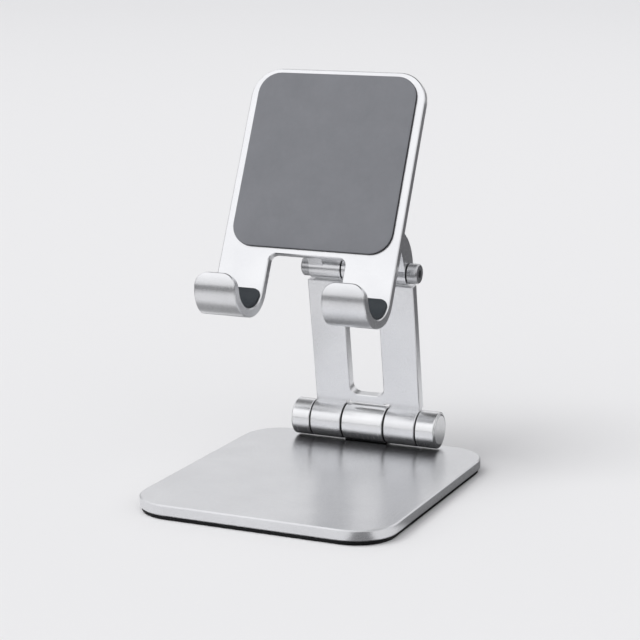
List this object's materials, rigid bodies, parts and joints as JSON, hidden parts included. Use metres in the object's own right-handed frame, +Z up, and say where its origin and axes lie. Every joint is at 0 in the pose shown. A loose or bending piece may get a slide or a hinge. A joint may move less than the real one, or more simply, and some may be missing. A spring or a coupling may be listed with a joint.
{
  "type": "phone stand",
  "caption": "Aluminium desk stand with a flat base, a friction-hinged slotted arm and a tilting padded holder with hooked lower supports.",
  "frame": {"origin": "centre of the base's underside, on the table", "axes": "+X to the user's right, -Y to the front towards the user, +Z up"},
  "size_m": [0.1052, 0.1251, 0.1541],
  "materials": {
    "satin_aluminium": "satin",
    "bright_aluminium": "polished turned",
    "steel": "bright",
    "dark_polymer": "matte",
    "grey_rubber": "matte",
    "liner_rubber": "matte",
    "base_silicone": "matte"
  },
  "bodies": {
    "base": {"base_plate": "satin_aluminium", "base_pad": "base_silicone", "base_screws": "steel", "base_knuckle": "bright_aluminium", "lower_pin": "steel", "lower_inner_washers": "dark_polymer", "lower_outer_washers": "dark_polymer", "lower_disc_springs": "steel", "lower_nuts": "steel", "end_cap_right": "bright_aluminium", "end_cap_left": "bright_aluminium", "end_plug_right": "bright_aluminium", "end_plug_left": "bright_aluminium"},
    "arm": {"arm_plate": "satin_aluminium", "lower_bushes": "dark_polymer", "upper_bush": "dark_polymer"},
    "holder": {"holder_plate": "satin_aluminium", "holder_pad": "grey_rubber", "hook_liner_left": "liner_rubber", "hook_liner_right": "liner_rubber", "upper_pin": "steel", "upper_nut": "steel", "upper_head_washer": "dark_polymer", "upper_washers": "dark_polymer", "upper_disc_springs": "steel"}
  },
  "joints": [
    {"name": "arm_tilt", "type": "hinge", "parent": "base", "child": "arm", "pos_m": [0, 0.0522, 0.0136], "axis": [1, 0, 0], "range_deg": [-30, 40]},
    {"name": "holder_tilt", "type": "hinge", "parent": "arm", "child": "holder", "pos_m": [0, 0.04382, 0.07803], "axis": [1, 0, 0], "range_deg": [-80, 30]}
  ]
}
